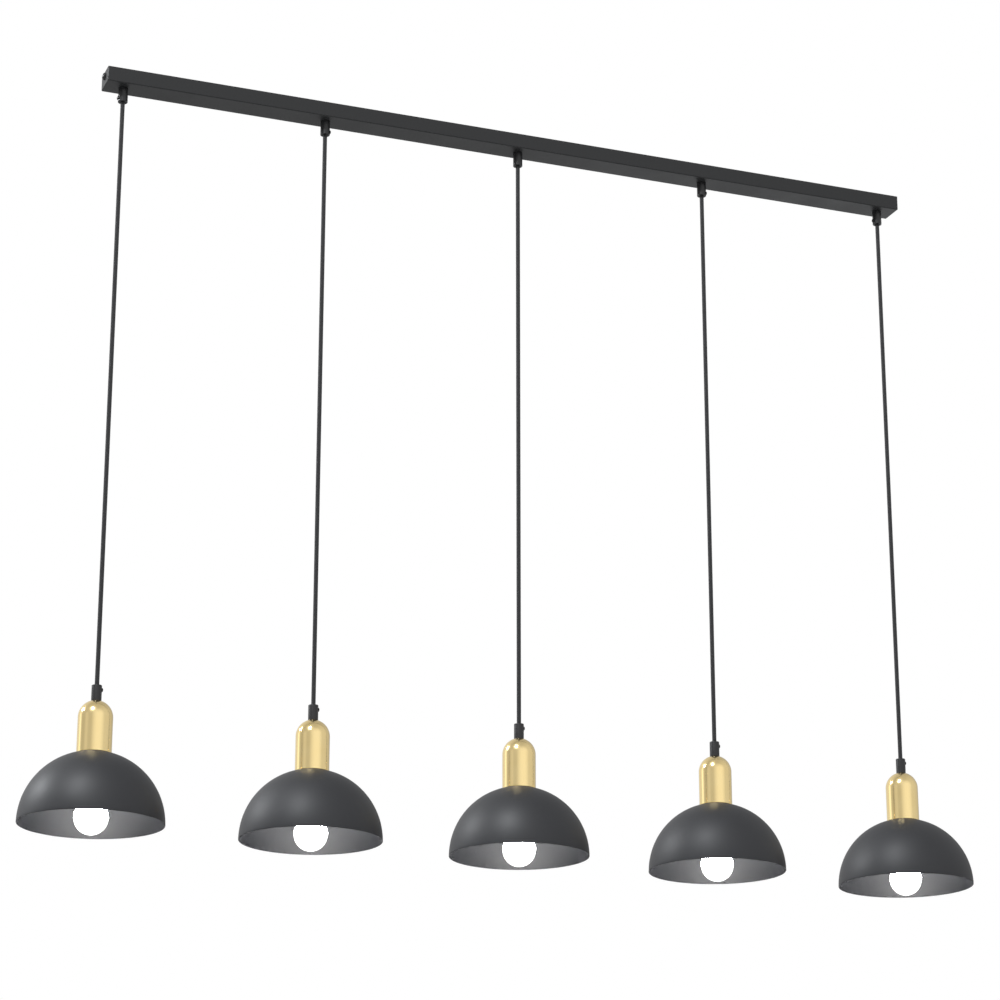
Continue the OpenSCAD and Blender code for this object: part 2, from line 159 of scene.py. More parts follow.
def hexNut(across, height, bore, ease=0.35):
    # hexagon on z = 0 with eased rims and a round bore
    nut = bmesh.new()
    reach = across / 2 / math.cos(math.pi / 6)
    place = Matrix.Translation((0, 0, height / 2)) @ Matrix.Rotation(math.pi / 6, 4, "Z")
    bmesh.ops.create_cone(nut, cap_ends=True, segments=6, radius1=reach, radius2=reach, depth=height,
                          matrix=place)
    rims = [edge for edge in nut.edges if abs(edge.verts[0].co.z - edge.verts[1].co.z) < 0.001]
    bmesh.ops.bevel(nut, geom=rims, offset=ease, offset_type="OFFSET", affect="EDGES", segments=2,
                    profile=0.5, material=-1)
    hole = bmesh.new()
    addRod(hole, (0, 0, -1), (0, 0, height + 1), bore, 48)
    return cutAway(nut, hole)


def placePiece(name, bm, material, body=None, x=0.0, turnedBy=None, stands=(), sharp=32):
    # x in metres, turnedBy in millimetres; stands are the CAD nodes that the piece takes the place of
    mesh = bpy.data.meshes.new(name)
    bm.to_mesh(mesh)
    place = Matrix.Translation((x, 0, 0)) @ Matrix.Scale(0.001, 4)
    mesh.transform(place @ turnedBy if turnedBy else place)
    mesh.polygons.foreach_set("use_smooth", [True] * len(mesh.polygons))
    mesh.set_sharp_from_angle(angle=math.radians(sharp))
    mesh.materials.append(material)
    piece = bpy.data.objects.new(name, mesh)
    bpy.context.scene.collection.objects.link(piece)
    if body:
        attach(piece, body)
    if stands:
        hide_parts(*stands)
    return piece


def paintNode(node, material):
    # a CAD node that shows as it is, with a finish
    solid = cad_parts[node]
    solid.data.materials.clear()
    solid.data.materials.append(material)


# Finishes
def linearColour(hexValue):
    channels = [int(hexValue[i:i + 2], 16) / 255 for i in (1, 3, 5)]
    return [c / 12.92 if c <= 0.04045 else ((c + 0.055) / 1.055) ** 2.4 for c in channels] + [1.0]


def addNode(tree, kind, values=None, **settings):
    # values are constants or the sockets of other nodes, by input name or number
    node = tree.nodes.new(kind)
    for name, value in settings.items():
        setattr(node, name, value)
    for socket, value in (values or {}).items():
        if isinstance(value, bpy.types.NodeSocket):
            tree.links.new(value, node.inputs[socket])
        else:
            node.inputs[socket].default_value = value
    return node


def newFinish(name, **sockets):
    # sockets are the shader's constants, with _ for the spaces in their names
    material = bpy.data.materials.new(name)
    material.use_nodes = True
    tree = material.node_tree
    tree.nodes.clear()
    constants = {key.replace("_", " "): value for key, value in sockets.items()}
    shader = addNode(tree, "ShaderNodeBsdfPrincipled", constants)
    addNode(tree, "ShaderNodeOutputMaterial", {"Surface": shader.outputs["BSDF"]})
    place = addNode(tree, "ShaderNodeTexCoord").outputs["Object"]
    return material, tree, shader, place


def perMillimetre(size):
    # a texture's scale for features of so many millimetres, on coordinates in metres
    return 1000 / size


def mixColours(tree, factor, first, second):
    return addNode(tree, "ShaderNodeMix", {"Factor": factor, 6: linearColour(first), 7: linearColour(second)},
                   data_type="RGBA").outputs[2]


def spread(tree, value, low, high, fromLow=0.3, fromHigh=0.7):
    # a noise's usual span, or the given one, stretched from low to high
    return addNode(tree, "ShaderNodeMapRange", {"Value": value, "From Min": fromLow, "From Max": fromHigh,
                                                "To Min": low, "To Max": high}).outputs["Result"]


def paintedMetal(name, dark, light, lowRough, highRough, peel=0.9, bump=0.05, blotch=70, shine=0.5):
    # sprayed and baked paint: a very fine orange peel, slow drifts of gloss and shade
    material, tree, shader, place = newFinish(name, Metallic=0.0, Specular_IOR_Level=shine)
    drift = addNode(tree, "ShaderNodeTexNoise",
                    {"Vector": place, "Scale": perMillimetre(blotch), "Detail": 3.0})
    fine = addNode(tree, "ShaderNodeTexNoise", {"Vector": place, "Scale": perMillimetre(peel), "Detail": 2.0})
    tree.links.new(mixColours(tree, drift.outputs["Fac"], dark, light), shader.inputs["Base Color"])
    tree.links.new(spread(tree, drift.outputs["Fac"], lowRough, highRough), shader.inputs["Roughness"])
    bumps = addNode(tree, "ShaderNodeBump",
                    {"Height": fine.outputs["Fac"], "Strength": bump, "Distance": 0.0002})
    tree.links.new(bumps.outputs["Normal"], shader.inputs["Normal"])
    return material


def turnedMetal(name, dark, light, lowRough, highRough, pitch, bump, ridged=False):
    # metal worked in a lathe: rings about the upright axis, or a thread of the given pitch
    material, tree, shader, place = newFinish(name, Metallic=1.0)
    tone = addNode(tree, "ShaderNodeTexNoise", {"Vector": place, "Scale": perMillimetre(25), "Detail": 4.0})
    tree.links.new(mixColours(tree, tone.outputs["Fac"], dark, light), shader.inputs["Base Color"])
    tree.links.new(spread(tree, tone.outputs["Fac"], lowRough, highRough), shader.inputs["Roughness"])
    if ridged:
        # at scale 1 a wave texture has 20 / fullTurn bands to the metre
        height = addNode(tree, "ShaderNodeTexWave",
                         {"Vector": place, "Scale": perMillimetre(pitch) * fullTurn / 20},
                         bands_direction="Z").outputs["Fac"]
    else:
        rings = addNode(tree, "ShaderNodeMapping", {"Vector": place, "Scale": (2, 2, perMillimetre(pitch))})
        height = addNode(tree, "ShaderNodeTexNoise", {"Vector": rings.outputs["Vector"], "Scale": 1.0,
                                                      "Detail": 3.0}).outputs["Fac"]
    bumps = addNode(tree, "ShaderNodeBump", {"Height": height, "Strength": bump, "Distance": 0.0003})
    tree.links.new(bumps.outputs["Normal"], shader.inputs["Normal"])
    return material


def mouldedPlastic(name, dark, light, roughness, grain=0.7, bump=0.08):
    # injection-moulded plastic: an even fine spark texture and a slight drift of tone
    material, tree, shader, place = newFinish(name, Roughness=roughness, IOR=1.5)
    tone = addNode(tree, "ShaderNodeTexNoise", {"Vector": place, "Scale": perMillimetre(18), "Detail": 3.0})
    fine = addNode(tree, "ShaderNodeTexVoronoi", {"Vector": place, "Scale": perMillimetre(grain)})
    tree.links.new(mixColours(tree, tone.outputs["Fac"], dark, light), shader.inputs["Base Color"])
    bumps = addNode(tree, "ShaderNodeBump",
                    {"Height": fine.outputs["Distance"], "Strength": bump, "Distance": 0.0002})
    tree.links.new(bumps.outputs["Normal"], shader.inputs["Normal"])
    return material


print("finishes")
# baked powder coat on the bar, satin, its texture too fine to see from a step away
powderCoat = paintedMetal("satinBlackPowderCoat", "#252627", "#2a2a2b", 0.42, 0.50, peel=0.8, bump=0.10,
                          shine=0.36)
# charcoal lacquer on the spun shades, outside and in, with a soft broad sheen
shadeLacquer = paintedMetal("charcoalSatinLacquer", "#1f2024", "#232428", 0.52, 0.58, peel=1.1, bump=0.05,
                            blotch=90, shine=0.6)
# blackened turned metal of the cord grips, a little glossier than the bar
gripBlack = paintedMetal("satinBlackTurnedMetal", "#1b1b1d", "#232325", 0.34, 0.44, peel=0.5, bump=0.08,
                         blotch=20)
# black oxide on small screws, slightly oily
screwBlack = paintedMetal("blackOxideSteel", "#151516", "#1f1f20", 0.28, 0.40, peel=0.4, bump=0.10, blotch=6)
# polished and lacquered brass: mirror-like, with faint polishing rings
cupBrass = turnedMetal("polishedBrass", "#f4d99a", "#f9e2a8", 0.15, 0.20, pitch=1.6, bump=0.015)
# turned brass left bare, a fine thread of 1 mm pitch
threadBrass = turnedMetal("threadedBrass", "#c9a45a", "#dab76c", 0.25, 0.35, pitch=1.0, bump=0.6, ridged=True)
# bright zinc plate on pressed steel, with a faint grain along the sheet
zincSteel = turnedMetal("zincPlatedSteel", "#b9bdc2", "#cfd2d4", 0.30, 0.42, pitch=3.0, bump=0.03)
# nickel plate on the bulb's rolled screw cap
capNickel = turnedMetal("nickelPlatedCap", "#c8c6c0", "#d9d7d2", 0.20, 0.28, pitch=2.0, bump=0.02)
# mouldings: lampholder, connector box, the bulb's neck, and the glass round its tip
holderPlastic = mouldedPlastic("blackThermoplastic", "#161617", "#1d1d1e", 0.5)
boxPlastic = mouldedPlastic("whitePolyamide", "#deded8", "#e6e6e0", 0.45)
neckPlastic = mouldedPlastic("whitePolycarbonateNeck", "#ececea", "#f4f4f2", 0.4, bump=0.03)
capGlass = mouldedPlastic("blackCapGlass", "#0e0d0f", "#161417", 0.12, grain=3.0, bump=0.03)
# the cord's sheath under the braid, and the colours of its three cores
sheathRubber = mouldedPlastic("blackRubberSheath", "#1a1a1b", "#232324", 0.6)
leadBrown = mouldedPlastic("brownCoreInsulation", "#5a3420", "#643a24", 0.4)
leadBlue = mouldedPlastic("blueCoreInsulation", "#1f4f9a", "#2658a6", 0.4)
leadEarth = mouldedPlastic("greenYellowCoreInsulation", "#5f8f2a", "#b9b42c", 0.4)
# twelve strands each way round the cord, each with one turn in 30 mm
braidSize = {"strands": 12, "lay": 30}


def textileBraid():
    # black polyester braid on the cord, matt, a diamond weave, with painted shade in the weave's dips
    material, tree, shader, place = newFinish("blackTextileBraid", Roughness=0.78, Sheen_Weight=0.25,
                                              Sheen_Roughness=0.5)
    wrap = addNode(tree, "ShaderNodeUVMap", uv_map="wrap").outputs["UV"]
    axes = addNode(tree, "ShaderNodeSeparateXYZ", {"Vector": wrap})
    around = braidSize["strands"] * fullTurn
    strands = addNode(tree, "ShaderNodeMath", {0: axes.outputs["X"], 1: around}, operation="MULTIPLY")
    climb = addNode(tree, "ShaderNodeMath", {0: axes.outputs["Y"], 1: around / braidSize["lay"]},
                    operation="MULTIPLY")
    waves = []
    for operation in ("ADD", "SUBTRACT"):
        phase = addNode(tree, "ShaderNodeMath", {0: strands.outputs[0], 1: climb.outputs[0]},
                        operation=operation)
        waves.append(addNode(tree, "ShaderNodeMath", {0: phase.outputs[0]}, operation="SINE").outputs[0])
    weave = addNode(tree, "ShaderNodeMath", {0: waves[0], 1: waves[1]}, operation="MULTIPLY").outputs[0]
    height = spread(tree, weave, 0.0, 1.0, -1.0, 1.0)
    # painted shade: the one black yarn is coloured darker in the weave's dips than on its raised strands
    tree.links.new(mixColours(tree, height, "#171718", "#2c2c2e"), shader.inputs["Base Color"])
    bumps = addNode(tree, "ShaderNodeBump", {"Height": height, "Strength": 0.5, "Distance": 0.0003})
    tree.links.new(bumps.outputs["Normal"], shader.inputs["Normal"])
    return material


# the crown's upper end is a share of the radius above the globe's centre; fades in metres
opalLight = {"strength": 78.0, "crown": "#292929", "crownShare": 0.05, "fadeBelow": 0.004, "fadeAbove": 0.006}


def opalGlass():
    # opal glass, lit from inside: white all over, with a faint cloud in it
    material, tree, shader, place = newFinish("opalGlobeGlass", Base_Color=linearColour("#fffdf8"),
                                              Roughness=0.25, Emission_Strength=opalLight["strength"])
    cloud = addNode(tree, "ShaderNodeTexNoise", {"Vector": place, "Scale": perMillimetre(30), "Detail": 1.0})
    # the upper half lights the shade; the crown below it is only just past white
    height = addNode(tree, "ShaderNodeSeparateXYZ", {"Vector": place}).outputs["Z"]
    crown = 0.001 * (globeCentre + opalLight["crownShare"] * globeRadius)
    share = spread(tree, height, 0.0, 1.0, crown - opalLight["fadeBelow"], crown + opalLight["fadeAbove"])
    glow = mixColours(tree, cloud.outputs["Fac"], "#fffdfa", "#fffefd")
    light = addNode(tree, "ShaderNodeMix", {"Factor": share, 6: linearColour(opalLight["crown"]), 7: glow},
                    data_type="RGBA")
    tree.links.new(light.outputs[2], shader.inputs["Emission Color"])
    return material


braid = textileBraid()
opal = opalGlass()

print("cords")
# a round top in the grip's mouth; the bend runs from just below the mouth to well below the lower hinge
cordSize = {"end": holderTop - 10, "sides": 32, "bendStart": 5, "hinge": 15, "bendTail": 18, "pathSteps": 39}
cordRadius = cordDiameter / 2
cordTop = upperMouth + cordRadius
# close rings where the cord bends, wide ones below
bendTop = upperMouth - cordSize["bendStart"]
cordHeights = [bendTop - 1.5 * i for i in range(27)] + [upperMouth - 50 - 20 * i for i in range(47)]
cordOutline = ([(0, cordTop)] + arc(0, upperMouth, cordRadius, 80, 0, 7)
               + [(cordRadius, z) for z in cordHeights + [cordSize["end"]]] + [(0, cordSize["end"])])
cordMesh = turned(cordOutline, steps=cordSize["sides"], closed=False)
# the braid's coordinates: once round the cord, and millimetres along it
wrapLayer = cordMesh.loops.layers.uv.new("wrap")
for face in cordMesh.faces:
    centre = face.calc_center_median()
    middle = math.atan2(centre.y, centre.x)
    for loop in face.loops:
        spot = loop.vert.co
        angle = math.atan2(spot.y, spot.x) if spot.xy.length > 0.01 else middle
        angle += fullTurn * round((middle - angle) / fullTurn)
        loop[wrapLayer].uv = (angle / fullTurn, spot.z)
for n, x in pendantX.items():
    cord = placePiece(f"pendantCord_{n}", cordMesh, braid, x=x, stands=(f"cord_top_{n}", f"cord_{n}"),
                      sharp=60)
    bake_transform(cord)

print("bar")
barSize = {"length": 1296, "width": 41, "sheet": 1.2, "foldRadius": 1.6, "tubeHole": 5.15, "screwHole": 2.15,
           "screwDrop": 8.3, "holeReach": 2.5}
barEnd = barSize["length"] / 2
# a trough: a box without its lid, folded round its lower edges and its corners
bar = block((-barEnd, -barSize["width"] / 2, -barHeight), (barEnd, barSize["width"] / 2, 0))
bmesh.ops.delete(bar, geom=[face for face in bar.faces if face.normal.z > 0.9], context="FACES_ONLY")
folds = [edge for edge in bar.edges if min(vert.co.z for vert in edge.verts) < -1]
bmesh.ops.bevel(bar, geom=folds, offset=barSize["foldRadius"], offset_type="OFFSET", affect="EDGES",
                segments=8, profile=0.5, material=-1)
bmesh.ops.recalc_face_normals(bar, faces=bar.faces)
bmesh.ops.solidify(bar, geom=bar.faces[:], thickness=barSize["sheet"])
# holes for the five short tubes in the floor and for a screw in each end wall
barHoles = bmesh.new()
for x in pendantX.values():
    addRod(barHoles, (1000 * x, 0, -barHeight - 1), (1000 * x, 0, -barHeight + barSize["holeReach"]),
           barSize["tubeHole"], 48)
for end in (-barEnd, barEnd):
    addRod(barHoles, (end - barSize["holeReach"], 0, -barSize["screwDrop"]),
           (end + barSize["holeReach"], 0, -barSize["screwDrop"]), barSize["screwHole"], 32)
# the folds stay fine facets, so that the flat sides shade as flat
placePiece("canopyBar", cutAway(bar, barHoles), powderCoat, "canopy", stands=("canopy",),
           sharp=5)


def slottedScrew(width, height, slotWidth, slotDepth, shankWidth, shankLength, ease=0.15):
    # domed head on +Z with a slot across it, shank on -Z
    side = 0.4 * height
    dome = height - side
    domeRadius = ((width / 2) ** 2 + dome ** 2) / (2 * dome)
    sweep = math.degrees(math.asin(width / 2 / domeRadius))
    outline = ([(0, height)] + arc(0, height - domeRadius, domeRadius, 88, 90 - sweep + 1, 10)
               + [(width / 2, side - 0.1), (width / 2, ease), (width / 2 - ease, 0), (shankWidth / 2, 0),
                  (shankWidth / 2, -shankLength), (0, -shankLength)])
    head = turned(outline, steps=40, closed=False)
    slot = block((-width, -slotWidth / 2, height - slotDepth), (width, slotWidth / 2, height + 1))
    return cutAway(head, slot)


endScrewSize = {"width": 11, "height": 4.4, "slotWidth": 1.1, "slotDepth": 1.5, "shankWidth": 4,
                "shankLength": 8}
endScrew = slottedScrew(**endScrewSize)
# the end of the bar, and the angle at which that screw's slot was left
for side, tilt in ((1, 20), (-1, 65)):
    place = (Matrix.Translation((side * (barEnd + seat), 0, -barSize["screwDrop"]))
             @ Matrix.Rotation(side * math.pi / 2, 4, "Y") @ Matrix.Rotation(math.radians(tilt), 4, "Z"))
    placePiece(f"endScrew_{'right' if side > 0 else 'left'}", endScrew, screwBlack, "canopy", turnedBy=place,
               stands=("end_screws",))

print("cord grips")
gripSize = {"bore": cordDiameter + 0.2, "mouth": 1.4, "lip": 0.12, "rounding": 0.8, "chamfer": 0.3,
            "socketWidth": 10.1, "socketLength": 9, "screwFromMouth": 6.1}
clampSize = {"width": 5.8, "height": 1.8, "slotWidth": 0.9, "slotDepth": 0.65, "shankWidth": 3,
             "shankLength": 3.8}


def gripOutline(mouth, way):
    # way is 1 for a grip that opens downwards and -1 for one that opens upwards
    outer, bore, funnel, lip = gripWidth / 2, gripSize["bore"] / 2, gripSize["mouth"], gripSize["lip"]
    socket, socketFloor = gripSize["socketWidth"] / 2, gripLength - gripSize["socketLength"]
    rounding, chamfer = gripSize["rounding"], gripSize["chamfer"]
    points = [(bore, funnel), (bore + funnel, lip), (bore + funnel + lip, 0)]
    points += arc(outer - rounding, rounding, rounding, -90, 0, 6)
    points += [(outer, gripLength - chamfer), (outer - chamfer, gripLength), (socket, gripLength),
               (socket, socketFloor), (bore, socketFloor)]
    return [(r, mouth + way * z) for r, z in points]


clamp = slottedScrew(**clampSize)
upperGrip = turned(gripOutline(upperMouth, 1), steps=64)
lowerGrip = turned(gripOutline(lowerMouth, -1), steps=64)
# the upper clamps face differing ways, given in degrees from +X; the lower ones all face +X
upperFacing = {1: 180, 2: 0, 3: 90, 4: 0, 5: 180}


def clampPlace(facing, z, tilt):
    # tilt is the angle at which the screw's slot was left
    return (Matrix.Translation((0, 0, z)) @ Matrix.Rotation(math.radians(facing), 4, "Z")
            @ Matrix.Translation((gripWidth / 2 + seat, 0, 0)) @ Matrix.Rotation(math.pi / 2, 4, "Y")
            @ Matrix.Rotation(math.radians(tilt), 4, "Z"))


upperHeight = upperMouth + gripSize["screwFromMouth"]
lowerHeight = lowerMouth - gripSize["screwFromMouth"]
for n, x in pendantX.items():
    placePiece(f"upperGrip_{n}", upperGrip, gripBlack, "canopy", x, stands=("upper_grips",))
    placePiece(f"lowerGrip_{n}", lowerGrip, gripBlack, f"pendant_{n}", x, stands=(f"grip_{n}",))
    placePiece(f"upperClamp_{n}", clamp, screwBlack, "canopy", x,
               turnedBy=clampPlace(upperFacing[n], upperHeight, 37 * n), stands=("upper_grip_screws",))
    placePiece(f"lowerClamp_{n}", clamp, screwBlack, f"pendant_{n}", x,
               turnedBy=clampPlace(0, lowerHeight, 20 + 47 * n), stands=(f"grip_screw_{n}",))

print("cups and shades")
# both are spun from sheet, with a hole in the middle for the long threaded tube
spunHole = 5.2
cupSize = {"flat": gripWidth / 2, "edge": 0.3, "ringStep": 16}
cupInner = cupRadius - spunWall
cupDome = cupTop - math.sqrt(cupRadius ** 2 - cupSize["flat"] ** 2)
outerAngle = math.degrees(math.acos(cupSize["flat"] / cupRadius))
innerAngle = math.degrees(math.asin((cupTop - spunWall - cupDome) / cupInner))
cupOutline = ([(spunHole, cupTop)] + arc(0, cupDome, cupRadius, outerAngle, 0, 26)
              + [(cupRadius, cupDome - cupSize["ringStep"]), (cupRadius, cupDome - 2 * cupSize["ringStep"]),
                 (cupRadius, cupBottom + cupSize["edge"]), (cupRadius - cupSize["edge"], cupBottom),
                 (cupInner, cupBottom)]
              + arc(0, cupDome, cupInner, 0, innerAngle, 20) + [(spunHole, cupTop - spunWall)])
cup = turned(cupOutline, steps=96)

# half a sphere outside and inside, joined by a round lip
shadeInner, shadeLip = shadeRadius - spunWall, spunWall / 2
lipRise = math.degrees(math.asin(shadeLip / shadeRadius))
outerHole, innerHole = [math.degrees(math.acos(spunHole / radius)) for radius in (shadeRadius, shadeInner)]
shadeOutline = (arc(0, rimHeight, shadeRadius, outerHole, lipRise, 60)
                + arc(shadeRadius - shadeLip, rimHeight + shadeLip, shadeLip, -20, -160, 6)
                + arc(0, rimHeight, shadeInner, lipRise, innerHole, 60))
shade = turned(shadeOutline, steps=144)
for n, x in pendantX.items():
    placePiece(f"brassCup_{n}", cup, cupBrass, f"pendant_{n}", x, stands=(f"cup_{n}",))
    placePiece(f"domedShade_{n}", shade, shadeLacquer, f"pendant_{n}", x, stands=(f"shade_{n}",),
               sharp=50)

print("lampholders and bulbs")
holderSize = {"thread": 5.05, "chamber": 14.25, "chamberTop": 30, "passage": cordRadius + 0.1,
              "passageTop": 37, "body": 18.5, "lip": 20}
ribSize = {"count": 30, "depth": 0.45, "bottom": 8, "top": 28, "fade": 3, "rings": 40, "ringStep": 0.6}


def dent(vert, depth, wave):
    # moves a point inwards by up to the depth, once in each full turn of the wave
    radius = vert.co.xy.length
    vert.co.xy *= (radius - depth * (0.5 - 0.5 * math.cos(wave))) / radius


# radius and height above the mouth: crown, shoulders and groove, skirt, lip, and back up inside
body, lip, chamber = holderSize["body"], holderSize["lip"], holderSize["chamber"]
holderOutline = [(holderSize["thread"], holderLength), (9.1, holderLength), (holderCrown, 49.6),
                 (holderCrown, 44), (10.2, 43.4), (14.0, 39.4), (15.0, 39), (18.0, 34.6), (body, 33.6),
                 (body, 32.4), (17.7, 31.6), (body, 30.8)]
holderOutline += [(body, 30.4 - ribSize["ringStep"] * i) for i in range(ribSize["rings"])]
holderOutline += [(body, 5.4), (19.6, 4.2), (lip, 3.6), (lip, 0.4), (19.6, 0), (14.6, 0), (chamber, 0.35),
                  (chamber, holderSize["chamberTop"]), (holderSize["passage"], holderSize["chamberTop"]),
                  (holderSize["passage"], holderSize["passageTop"]),
                  (holderSize["thread"], holderSize["passageTop"])]
holder = turned([(r, holderMouth + z) for r, z in holderOutline], steps=180)
for vert in holder.verts:
    # finger ribs round the skirt, fading out at both ends
    height = vert.co.z - holderMouth
    fromEnds = min(height - ribSize["bottom"], ribSize["top"] - height)
    if fromEnds > 0 and vert.co.xy.length > 18:
        fade = min(1, fromEnds / ribSize["fade"])
        dent(vert, ribSize["depth"] * fade, ribSize["count"] * math.atan2(vert.co.y, vert.co.x))

bulbSize = {"neck": 14.9, "globeTop": 60, "insulator": 6.6, "thread": 13.1, "pitch": 3.63,
            "threadDepth": 0.8, "threadRings": 60}
capRim = capTop - capLength
globeTop = globeCentre + globeRadius * math.sin(math.radians(bulbSize["globeTop"]))
globe = turned([(0, globeCentre - globeRadius)]
               + arc(0, globeCentre, globeRadius, -88, bulbSize["globeTop"], 54) + [(0, globeTop)],
               steps=72, closed=False)
neckEdge = globeCentre + math.sqrt(globeRadius ** 2 - bulbSize["neck"] ** 2)
neck = turned([(0, capRim), (13.9, capRim), (14.3, capRim - 0.4), (14.3, capRim - 3), (14.45, capRim - 8),
               (14.75, neckEdge + 1.2), (14.95, neckEdge + 0.3), (bulbSize["neck"], neckEdge - 0.1),
               (14.3, neckEdge - 0.3), (0, neckEdge - 0.3)], steps=72, closed=False)
threadTop = capTop - bulbSize["insulator"]
threadLength = threadTop - capRim
capHeights = [threadTop - threadLength * i / bulbSize["threadRings"] for i in range(bulbSize["threadRings"] + 1)]
cap = turned([(0, threadTop + 1), (12.1, threadTop + 1)] + [(bulbSize["thread"], z) for z in capHeights]
             + [(0, capHeights[-1])], steps=60, closed=False)
for vert in cap.verts:
    # rolled thread: the groove climbs one pitch in each turn and fades at both ends
    if vert.co.xy.length > 13:
        fromEnds = min(vert.co.z - capRim, threadTop - vert.co.z)
        fade = min(1, max(0, (fromEnds - 0.5) / 2))
        turns = (vert.co.z - capRim) / bulbSize["pitch"] - math.atan2(vert.co.y, vert.co.x) / fullTurn
        dent(vert, bulbSize["threadDepth"] * fade, fullTurn * turns)
capCone = turned([(0, threadTop + 0.9), (12.0, threadTop + 0.9), (10, capTop - 4.4), (5.2, capTop - 1.7),
                  (0, capTop - 1.7)], steps=48, closed=False)
capTip = turned([(0, capTop - 1.9), (5, capTop - 1.9), (5, capTop - 1.2), (4.6, capTop - 0.5),
                 (3.4, capTop - 0.1), (0, capTop)], steps=48, closed=False)
bulbParts = {"opalGlobe": (globe, opal), "bulbNeck": (neck, neckPlastic), "screwCap": (cap, capNickel),
             "capCone": (capCone, capGlass), "capTip": (capTip, capNickel)}
for n, x in pendantX.items():
    placePiece(f"lampholder_body_{n}", holder, holderPlastic, f"pendant_{n}", x, stands=(f"lampholder_{n}",))
    for name, (shape, finish) in bulbParts.items():
        placePiece(f"{name}_{n}", shape, finish, f"bulb_{n}", x, stands=(f"bulb_{n}",),
                   sharp=40)

print("metalwork and wiring inside the bar")
paintNode("ceiling_strip", zincSteel)
paintNode("short_tubes", threadBrass)
paintNode("connector_box", boxPlastic)
for n in pendantX:
    paintNode(f"threaded_tube_{n}", threadBrass)
    paintNode(f"contacts_{n}", capNickel)

# the cords' sheaths end inside the bar, and their cores run level from there to the connector box
wiringSize = {"coreRadius": 0.9, "corePitch": 1.9, "bend": 3.0, "sheathTop": -barHeight + 8.2,
              "sheathBottom": upperMouth + cordRadius + 0.3, "coreFoot": 0.5, "boxX": 155, "boxLength": 46,
              "boxMouth": 5, "play": 0.3}
boxReach = wiringSize["boxLength"] / 2 - wiringSize["boxMouth"] + wiringSize["play"]
# the outermost pendants' cores run highest
coreHeights = {1: -4.5, 2: -7.0, 3: -9.5, 4: -7.0, 5: -4.5}

# what the earth stud carries, from below: base nut, ring tag, washer, top nut
studSize = {"x": 212, "radius": 2, "bottom": 0.3, "length": 9, "chamfer": 0.4, "bore": 2.05, "nutAcross": 7,
            "baseNut": 2, "topNut": 2.6}
tagSize = {"radius": 4.2, "tail": 9, "tailWidth": 1.8, "tailLap": 0.4, "thickness": 0.8, "coreGap": 1}
washerSize = {"radius": 3.8, "thickness": 0.8, "ease": 0.1}
floorTop = -barHeight + barSize["sheet"] + seat
tagHeight = floorTop + studSize["baseNut"] + seat
washerHeight = tagHeight + tagSize["thickness"] + seat
topNutHeight = washerHeight + washerSize["thickness"] + seat


def pushFace(bm, face, move):
    # draws the face out along move and gives its new place
    pushed = bmesh.ops.extrude_face_region(bm, geom=[face])["geom"]
    bmesh.ops.translate(bm, vec=move, verts=[part for part in pushed if isinstance(part, bmesh.types.BMVert)])
    return next(part for part in pushed if isinstance(part, bmesh.types.BMFace))


def addLead(bm, foot, height, bend, side, mouth, radius, sides=16):
    # a lead that rises from its foot, bends over towards side and runs level to the mouth at the given X
    x, y, z = foot
    disc = bmesh.ops.create_circle(bm, cap_ends=True, segments=sides, radius=radius,
                                   matrix=Matrix.Translation(foot))
    risen = pushFace(bm, disc["verts"][0].link_faces[0], (0, 0, height - bend - z))
    bent = bmesh.ops.spin(bm, geom=[risen], cent=(x + side * bend, y, height - bend), axis=(0, side, 0),
                          angle=math.pi / 2, steps=10)["geom_last"]
    ahead = next(part for part in bent if isinstance(part, bmesh.types.BMFace))
    pushFace(bm, ahead, (mouth - x - side * bend, 0, 0))


sheaths = bmesh.new()
for x in pendantX.values():
    ends = [(1000 * x, 0, wiringSize[end]) for end in ("sheathBottom", "sheathTop")]
    addRod(sheaths, *ends, cordRadius, 32)
bmesh.ops.recalc_face_normals(sheaths, faces=sheaths.faces)
placePiece("innerSheaths", sheaths, sheathRubber, "canopy", stands=("inner_leads",))
# each colour's lane across the bar, and its finish
coreFinishes = {"brownCores": (-1, leadBrown), "blueCores": (0, leadBlue), "earthCores": (1, leadEarth)}
for name, (lane, finish) in coreFinishes.items():
    cores = bmesh.new()
    for n, x in pendantX.items():
        foot = (1000 * x, lane * wiringSize["corePitch"], wiringSize["sheathTop"] - wiringSize["coreFoot"])
        side = 1 if foot[0] < wiringSize["boxX"] else -1
        addLead(cores, foot, coreHeights[n], wiringSize["bend"], side, wiringSize["boxX"] - side * boxReach,
                wiringSize["coreRadius"])
    if name == "earthCores":
        # one more from the box to the ring tag
        height = tagHeight + wiringSize["coreRadius"]
        tagEnd = studSize["x"] - tagSize["radius"] - tagSize["coreGap"]
        addRod(cores, (wiringSize["boxX"] + boxReach, 0, height), (tagEnd, 0, height), wiringSize["coreRadius"])
    bmesh.ops.recalc_face_normals(cores, faces=cores.faces)
    placePiece(name, cores, finish, "canopy", stands=("inner_leads",))

# tinned ring tag, its tail crimped on the core
tag = turned([(studSize["bore"], 0), (tagSize["radius"], 0), (tagSize["radius"], tagSize["thickness"]),
              (studSize["bore"], tagSize["thickness"])], steps=40)
tail = block((-tagSize["tail"], -tagSize["tailWidth"] / 2, 0),
             (-tagSize["radius"] + tagSize["tailLap"], tagSize["tailWidth"] / 2, tagSize["thickness"]))
tagPlace = (studSize["x"], 0, tagHeight)
placePiece("earthTag", joined(((tag, tagPlace), (tail, tagPlace))), capNickel, "canopy",
           stands=("inner_leads",))

